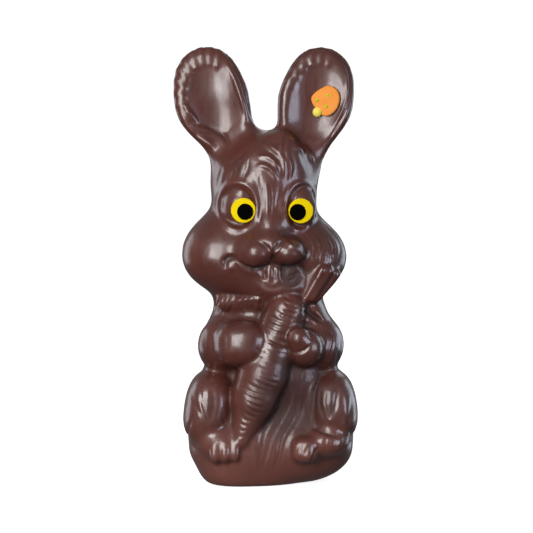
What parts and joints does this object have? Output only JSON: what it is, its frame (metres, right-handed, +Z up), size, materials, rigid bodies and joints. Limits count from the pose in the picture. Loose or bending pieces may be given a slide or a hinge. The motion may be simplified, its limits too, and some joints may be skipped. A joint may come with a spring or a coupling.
{
  "type": "chocolate bunny",
  "caption": "Moulded dark chocolate bunny sitting upright with a carrot in its paws, sugar disc eyes and a sugar egg on one ear.",
  "frame": {"origin": "on the flat underside of the foot, under the middle of the figure", "axes": "+Z up from the foot to the ear tips, -Y the way the face looks, +X towards the bunny's own left"},
  "size_m": [0.0846, 0.0648, 0.2001],
  "materials": {
    "dark_chocolate": "glossy moulded dark chocolate",
    "yellow_sugar": "dry pressed sugar",
    "orange_sugar": "dry pressed sugar",
    "pale_yellow_sugar": "dry pressed sugar"
  },
  "bodies": {
    "root": {"bunny_body": "dark_chocolate", "eye_right": "yellow_sugar", "eye_left": "yellow_sugar", "ear_egg": "orange_sugar", "ear_bead": "pale_yellow_sugar"}
  },
  "joints": []
}
